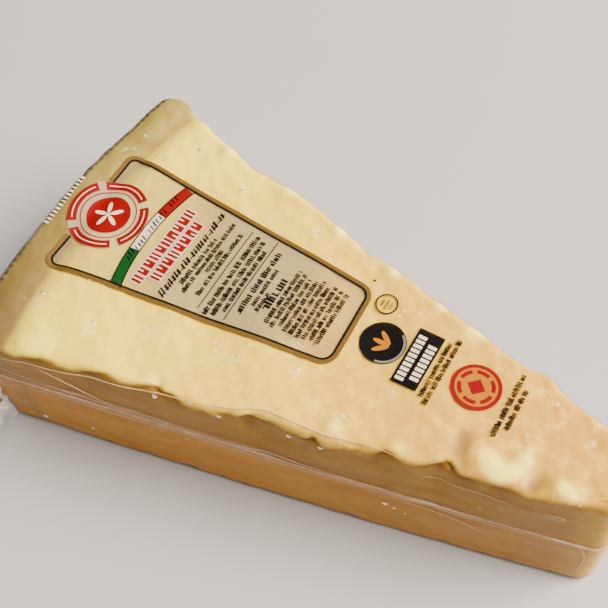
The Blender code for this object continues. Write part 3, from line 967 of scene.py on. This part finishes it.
# Over a crystal the film is stretched smooth, and gives one tight glint; its milky white, fading
# out from the middle, is a painted glint.
blister_film = clear_laminate("laminate_over_crystal", 0.50, "FBF0D0", 0.05, 1.0, 1.0)
x, y = disc_grid(DOME_STEPS)
painted_glint = np.tile(np.clip(1.0 - x**2 - y**2, 0, 1).ravel(), len(centres))
make_piece("film_blisters", points, quads[:, ::-1], blister_film, {"haze": painted_glint},
           replaces=True)

# %% [markdown]
# ## The print
# The upper web is printed: a framed panel, a striped ribbon, and lines of small print, with a few
# round marks towards the tip.  Here it is plain: fields of colour, bars and discs, with no
# lettering and no marks of any maker.  Each ink is one piece of thin grids that are laid out flat,
# in reach and across, and then draped over the film a few hundredths of a millimetre up.


# %% Laying out flat shapes
def drape(flat, lift):
    """Puts (reach, across) in millimetres onto the film, lifted, with every face looking up."""
    place = np.asarray(flat) * MM
    x, y = -place[..., 0], place[..., 1]
    stack = np.stack([x, y, film_height(x, y) + lift * MM], axis=-1)
    side_a = stack[0, 1, 0] - stack[0, 0, 0]
    side_b = stack[0, 0, 1] - stack[0, 0, 0]
    return stack if np.cross(side_a, side_b)[2] > 0 else stack[:, :, ::-1]


def bars(reach, across, tall, wide, slant=0.0):
    """A stack of small bars, each tall along the reach and wide across, leaning by slant."""
    reach, across, tall, wide = (np.atleast_1d(a)[:, None, None] for a in
                                 np.broadcast_arrays(reach, across, tall, wide))
    up, aside = np.meshgrid([-0.5, 0.5], [-0.5, 0.5])
    u = reach + tall * up
    return np.stack([u, across + wide * aside + slant * (u - reach)], axis=-1)


def field(corners, step=1.0):
    """One four-cornered field: straight blending between its corners, in steps of about step mm."""
    a, b, c, d = (np.array(corner, dtype=float) for corner in corners)
    rows = max(2, int(np.linalg.norm(b - a) / step) + 1)
    columns = max(2, int(np.linalg.norm(d - a) / step) + 1)
    s = np.linspace(0, 1, rows)[:, None, None]
    t = np.linspace(0, 1, columns)[None, :, None]
    return ((1 - s) * ((1 - t) * a + t * d) + s * ((1 - t) * b + t * c))[None]


def band(path, left, right, columns=2):
    """A ribbon between two offsets to the left and to the right of a path, along its normals."""
    along = unit(np.gradient(path, axis=0))
    normal = np.column_stack([-along[:, 1], along[:, 0]])
    offsets = np.linspace(-left, right, columns)
    return (path[:, None] + normal[:, None] * offsets[None, :, None])[None]


def arc(centre, radius, start, end, count):
    """Points on a circle from start to end, in degrees."""
    turn = np.radians(np.linspace(start, end, count))
    return np.column_stack([centre[0] + radius * np.cos(turn), centre[1] + radius * np.sin(turn)])


def disc(centre, radius, steps=13, lobes=0, depth=0.0, squash=1.0, lean=0.0):
    """A filled disc whose rim is radius * (1 + depth * cos(lobes * angle)), squashed and turned."""
    x, y = disc_grid(steps)
    angle = np.arctan2(y, x)
    rim = radius * (1.0 + depth * np.cos(lobes * angle) * np.hypot(x, y) ** 4)
    x, y = x * rim, y * rim * squash
    c, s = math.cos(lean), math.sin(lean)
    return np.stack([centre[0] + c * x - s * y, centre[1] + s * x + c * y], axis=-1)[None]


# %% Ink
PALED = "E9DFC8"


def gravure_ink(name, hex_code, opacity, blot):
    """Reverse-printed gravure ink behind clear film: flat, slightly uneven, glossy on its face."""
    material, tree, place = new_material(name)
    cloud = add(tree, "TexNoise", {"Vector": place, "Scale": per_mm(0.9), "Detail": 3.0})
    cloud = add(tree, "MapRange", {0: cloud, 1: 0.35, 2: 0.70, 4: blot})
    colour = add(tree, "Mix", {0: cloud, 6: hex_code, 7: PALED}, 2, data_type="RGBA")
    ink = add(tree, "BsdfPrincipled",
              {"Base Color": colour, "Roughness": 0.42, "Specular IOR Level": 0.10})
    cover = add(tree, "Attribute", None, "Fac", attribute_name="cover")
    cover = add(tree, "Math", {0: cover, 1: opacity}, operation="MULTIPLY")
    both = add(tree, "MixShader", {0: cover, 1: add(tree, "BsdfTransparent"), 2: ink})
    add(tree, "OutputMaterial", {0: both})
    return material


# %% The panel's frame
PANEL = ((196.3, -17.6), (196.3, 23.1), (114.9, 15.5), (114.1, -7.8))
PANEL_RADII = (2.2, 2.2, 3.4, 3.4)
BADGE = (190.5, 2.9)
BADGE_RADIUS = 11.4


def rounded_path(corners, radii, step=0.7):
    """Round the corners in turn: straight runs, and on each corner an arc that touches both."""
    corners = [np.array(corner) for corner in corners]
    path = []
    for i, corner in enumerate(corners):
        before = unit(corners[i - 1] - corner)
        after = unit(corners[(i + 1) % len(corners)] - corner)
        half = 0.5 * math.acos(float(before @ after))
        middle = corner + unit(before + after) * radii[i] / math.sin(half)
        start = corner + before * radii[i] / math.tan(half) - middle
        end = corner + after * radii[i] / math.tan(half) - middle
        share = np.linspace(0, 1, 9)[:, None]
        bend = start * (1 - share) + end * share
        path.append(middle + unit(bend) * radii[i])
    path = np.vstack(path + [path[0][:1]])
    length = np.concatenate([[0.0], np.cumsum(np.linalg.norm(np.diff(path, axis=0), axis=1))])
    even = np.linspace(0, length[-1], int(length[-1] / step))
    return np.column_stack([np.interp(even, length, path[:, k]) for k in (0, 1)])


frame_path = rounded_path(PANEL, PANEL_RADII)
clear_of_badge = np.hypot(*(frame_path - BADGE).T) > BADGE_RADIUS + 0.1
gap = np.flatnonzero(~clear_of_badge)
frame_path = np.vstack([frame_path[gap[-1] + 1:-1], frame_path[:gap[0]]])
gold = [band(frame_path, 1.15, 0.0, 3)]
black = [band(frame_path, 0.0, 0.6)]
print("frame", len(frame_path), "points")

# %% The ribbon: a green, white and red stripe on an arc
RIBBON_WIDE = 3.1
RIBBON_LINE = 0.18


def ribbon_path(start, end, drop=0.0):
    """The arc u = 178.9 - drop - 0.0078 * (v - 3)^2 from one place across to another."""
    v = np.linspace(start, end, int(abs(end - start) / 0.7) + 2)
    return np.column_stack([178.9 - drop - 0.0078 * (v - 3.0) ** 2, v])


green, white, red = ([band(ribbon_path(start, end), 0.0, RIBBON_WIDE, 4)]
                     for start, end in ((-14.9, -3.2), (-3.2, 9.6), (9.6, 20.7)))
black.append(band(ribbon_path(-15.1, 20.9), RIBBON_LINE, RIBBON_LINE))
black.append(band(ribbon_path(-15.3, 20.6, RIBBON_WIDE), RIBBON_LINE, RIBBON_LINE))

# %% [markdown]
# ### Greeked print
# Small print at this size is read as texture: strokes in word-long runs, uneven in height, on even
# base lines.  So each line is a seeded row of strokes, and none of them is a letter.

# %% Lines of strokes
draw = np.random.default_rng(17)


def strokes(reach, start, end, tall, pitch, weight=0.55, slant=0.0):
    """One line of print: strokes every pitch, with a gap after each run of 3 to 9 of them."""
    count = int((end - start) / pitch)
    across = start + (np.arange(count) + 0.5) * pitch
    breaks = np.cumsum(draw.integers(4, 10, count))
    keep = ~np.isin(np.arange(count), breaks)
    height = tall * draw.choice([0.70, 0.78, 0.90, 1.0], count)
    wide = pitch * weight * draw.uniform(0.75, 1.30, count)
    foot = reach - 0.5 * tall + 0.5 * height
    nudge = draw.uniform(-0.12, 0.12, count) * pitch
    return bars(foot[keep], (across + nudge)[keep], height[keep], wide[keep], slant)


def links(reach, start, end, tall, pitch):
    """Short level strokes that tie some of a line's uprights together, high, low or half way."""
    count = int((end - start) / pitch)
    across = start + np.arange(count) * pitch
    keep = draw.random(count) < 0.40
    level = reach - 0.5 * tall + tall * draw.choice([0.10, 0.36, 0.62], count)
    return bars(level[keep], across[keep], 0.16 * tall, pitch * 1.1)


# %% Where the lines run
# (reach, start, end, height, pitch) in mm of the small lines, and of the bold ones.
SMALL_LINES = (
    (159.9, -6.3, 10.6, 1.60, 0.62), (158.0, -8.3, 17.4, 1.50, 0.56), (156.1, 0.0, 8.0, 1.50, 0.56),
    (154.2, -7.0, 15.0, 1.50, 0.56), (149.7, -11.0, 16.4, 1.60, 0.58), (147.5, -10.2, 15.8, 1.60, 0.58),
    (145.5, -8.1, 12.9, 1.50, 0.58), (139.6, -3.0, 9.5, 1.35, 0.56), (137.9, -4.0, 2.5, 1.35, 0.56),
    (90.2, -5.3, 12.4, 1.45, 0.56), (88.4, -6.7, 13.5, 1.45, 0.56),
    (70.7, -6.1, 12.7, 1.50, 0.56), (68.5, -3.0, 8.8, 1.50, 0.56),
)
BOLD_LINES = ((141.8, -6.4, 14.4, 1.8, 0.74), (136.4, -2.0, 8.0, 2.5, 1.0))
SMALL_WEIGHT = 0.70
BOLD_WEIGHT = 0.66
for table, weight in ((SMALL_LINES, SMALL_WEIGHT), (BOLD_LINES, BOLD_WEIGHT)):
    for row, start, end, tall, pitch in table:
        black.append(strokes(row, start, end, tall, pitch, weight))
        black.append(links(row, start, end, tall, pitch))
for line in range(9):
    row = 134.0 - 1.78 * line
    edge = draw.uniform(0.0, 1.6, 2)
    start, end = -6.2 + edge[0] + 0.1 * line, 12.6 - edge[1]
    black.append(strokes(row, start, end, 1.45, 0.54, SMALL_WEIGHT))
    black.append(links(row, -5.0, 11.0, 1.45, 0.54))
print("black stacks so far", len(black))

# %% The slanted line, the rules and the light ticks
# The light ticks stand along the rind, in place of one more line of pale print.
black.append(strokes(162.6, -12.0, 18.5, 2.3, 1.12, 0.56, 0.42))
black.append(bars(162.0, np.arange(-11.4, 18.0, 2.24), 0.34, 1.2))
for row, start, end in ((151.9, -10.2, 17.0), (144.0, -10.0, 17.2)):
    low, high = row - 0.14, row + 0.14
    black.append(field([(low, start), (low, end), (high, end), (high, start)]))
black.append(strokes(177.1, -7.0, 17.0, 1.9, 1.25, 0.34, 0.42))
white.append(bars(203.9, np.arange(-7.6, 9.4, 1.3), 1.5, draw.uniform(0.35, 0.75, 14)))

# %% The two bold rows
# Plain blocks with a slit, each on a pale halo: bold type's weight and rhythm without its letters.
BLOCK_PITCH = 2.72
BLOCK_TALL = 3.0
halo = []
cream = []
for row, start, end in ((170.7, -11.9, 17.8), (166.7, -8.9, 15.3)):
    places = start + 1.2 + np.arange(int((end - start) / BLOCK_PITCH)) * BLOCK_PITCH
    wide = draw.uniform(1.75, 2.3, len(places))
    halo.append(bars(row, places, BLOCK_TALL + 0.7, wide + 0.75))
    red.append(bars(row, places, BLOCK_TALL, wide))
    level = draw.choice([-0.75, 0.0, 0.75], len(places))
    cream.append(bars(row + level, places, BLOCK_TALL - 2.0 * np.abs(level), 0.42))


# %% The badge
# A ring of blocks round a plain disc with a sprig of five leaves.
def beside(centre, distance, turn):
    """The point at a distance from a centre, at a turn in degrees."""
    return (centre[0] + distance * math.cos(math.radians(turn)),
            centre[1] + distance * math.sin(math.radians(turn)))


QUARTERS = range(0, 360, 90)
BADGE_RING = 10.1
backing = [disc(BADGE, BADGE_RADIUS, 45)]
red += [band(arc(BADGE, BADGE_RING, start + 51, start + 129, 36), 1.25, 1.25, 5)
        for start in QUARTERS]
red.append(band(arc(BADGE, 7.9, 0, 360, 60), 0.16, 0.16))
red.append(disc(BADGE, 6.3, 35))
red += [disc(beside(BADGE, BADGE_RING, start), 0.95, 9) for start in QUARTERS]
cream += [band(arc(BADGE, BADGE_RING, start + 56, start + 124, 22), 0.16, 0.16)
          for start in QUARTERS]
cream += [disc(beside(BADGE, 2.5, lean), 1.7, 9, 2, 0.10, 0.42, math.radians(lean))
          for lean in range(-150, 210, 72)]
cream.append(disc(BADGE, 0.6, 7))

# %% The marks towards the tip
# A thin ring with three short rows, a black disc with a fan, and a black plate with pale blocks.
RING = (109.5, 14.1)
black.append(band(arc(RING, 2.8, 0, 360, 48), 0.21, 0.21))
for row, half in ((110.6, 0.8), (109.4, 1.5), (108.2, 0.9)):
    black.append(bars(row, np.arange(-half, half + 0.1, 0.55) + RING[1], 0.75, 0.24))
FAN = (105.1, 3.8)
black.append(disc(FAN, 6.0, 21))
grey = [band(arc(FAN, 5.45, 130, 265, 40), 0.3, 0.3, 3)]
amber = [disc(beside((103.0, 3.8), 2.6, lean), 2.0, 11, 2, 0.12, 0.38, math.radians(lean))
         for lean in (-38, 0, 38)]
black.append(field([(91.7, -4.6), (91.7, 12.0), (98.7, 12.0), (98.7, -4.6)]))
for row, start, end in ((96.9, -3.7, 11.3), (93.5, -2.4, 9.8)):
    cream.append(bars(row, np.arange(start + 0.6, end - 0.4, 1.42), 2.3, 0.95))
black.append(disc((115.6, 19.0), 0.34, 5, 3, 0.2))

# %% The round mark
# Six arc blocks round a diamond, dark red on an amber disc with a red rim.
MARK = np.array([79.4, 3.7])
red.append(disc(MARK, 6.3, 35))
amber.append(disc(MARK, 5.3, 25))
mark_blocks = [band(arc(MARK, 4.2, start, start + 44, 16), 0.5, 0.5) for start in range(8, 360, 60)]
mark_blocks.append(field(MARK + [(-2.4, 0.0), (0.0, -2.4), (2.4, 0.0), (0.0, 2.4)], 0.6))
print("stacks of red and black", len(red), len(black))

# %% [markdown]
# ### Inks in their order
# Pale backings lie lowest, then the colours, then black, and last what is laid over black or red.
# Each ink is one piece, draped at its own height over the film.

# %% The pieces of print
# A grey tint over the panel, uneven along the reach: partly the print's own tint, partly painted shade.
veil = field([(196.0, -17.3), (195.6, 22.8), (115.2, 15.2), (114.4, -7.5)], 1.2)
u = veil[..., 0].ravel()
tint_and_shade_cover = 0.35 + 0.65 * ramp(u, 118, 160) * ramp(-u, -190, -172) + 0.25 * ramp(u, 172, 186)
# (piece, its stacks, height over the film in mm, colour, opacity, how far it pales in blots)
INKS = (
    # The panel's tint and painted shade.
    ("panel_tint_and_shade", [veil], 0.03, "8A7C6C", 0.54, 0.06),
    ("badge_backing", backing, 0.05, "CDB49C", 0.34, 0.02),
    ("halo", halo, 0.05, "D2AC98", 0.80, 0.02),
    ("gold", gold, 0.06, "5C4216", 0.97, 0.01),
    ("white", white, 0.06, "CDBAAA", 0.92, 0.02),
    ("green", green, 0.06, "043A10", 0.97, 0.005),
    ("red", red, 0.09, "760001", 0.98, 0.003),
    ("amber", amber, 0.11, "9E5E00", 0.97, 0.003),
    ("black", black, 0.10, "050404", 0.97, 0.003),
    ("cream", cream, 0.13, "D8C4A8", 0.96, 0.02),
    ("dots", mark_blocks, 0.13, "720002", 0.97, 0.003),
    ("grey", grey, 0.12, "6A6864", 0.90, 0.02),
)
for name, stacks, lift, colour, opacity, blot in INKS:
    points, quads = weld([drape(stack, lift) for stack in stacks])
    cover = tint_and_shade_cover if name == "panel_tint_and_shade" else np.ones(len(points))
    ink = gravure_ink("gravure_ink_" + name, colour, opacity, blot)
    make_piece("print_" + name, points, quads, ink, {"cover": cover}, merge=True)

# %% [markdown]
# ## Light and floor
# One broad softbox stands behind the wedge to the right of the view, so the top glows, the far
# rim shines and the near wall is left in half shade; its warm amber is painted on the cut walls.
# A pale floor bounces the rest.

# %% Floor
# Matt painted board, pale grey, with a faint unevenness.
FLOOR_SIDE = 4.0
FLOOR_DROP = 0.1 * MM
board, tree, place = new_material("matt_painted_board")
cloud = add(tree, "TexNoise", {"Vector": place, "Scale": per_mm(300), "Detail": 2.0})
shade = add(tree, "Mix", {0: cloud, 6: "A29E99", 7: "AAA6A1"}, 2, data_type="RGBA")
shader = add(tree, "BsdfPrincipled", {"Base Color": shade, "Roughness": 0.7})
add(tree, "OutputMaterial", {0: shader})
floor_mesh = bpy.data.meshes.new("floor")
corners = np.array([(-1, -1, 0), (1, -1, 0), (1, 1, 0), (-1, 1, 0)]) * FLOOR_SIDE
floor_mesh.from_pydata(corners - [0, 0, FLOOR_DROP], [], [(0, 1, 2, 3)])
floor_mesh.materials.append(board)
floor = bpy.data.objects.new("floor", floor_mesh)
bpy.context.scene.collection.objects.link(floor)


# %% Softboxes and sky
def softbox(name, bearing, height, distance, size, power, colour):
    """A square area light aimed at the wedge's middle from a bearing and a height in degrees."""
    light = bpy.data.lights.new(name, "AREA")
    light.size = size
    light.energy = power
    light.color = linear(colour)[:3]
    lamp = bpy.data.objects.new(name, light)
    bpy.context.scene.collection.objects.link(lamp)
    turn = math.radians(bearing)
    rise = math.radians(height)
    level = math.cos(rise)
    away = Vector((math.cos(turn) * level, math.sin(turn) * level, math.sin(rise)))
    aim = away.to_track_quat("Z", "Y").to_matrix().to_4x4()
    lamp.matrix_world = Matrix.Translation(away * distance) @ aim


softbox("key", 30, 44, 2.2, 1.5, 246.0, "FFF8EE")
softbox("fill", 250, 30, 1.5, 1.2, 2.5, "FFE9D2")
sky = bpy.data.worlds.new("studio")
sky.use_nodes = True
background = sky.node_tree.nodes["Background"]
background.inputs["Color"].default_value = linear("D8DCE2")
background.inputs["Strength"].default_value = 0.65
bpy.context.scene.world = sky
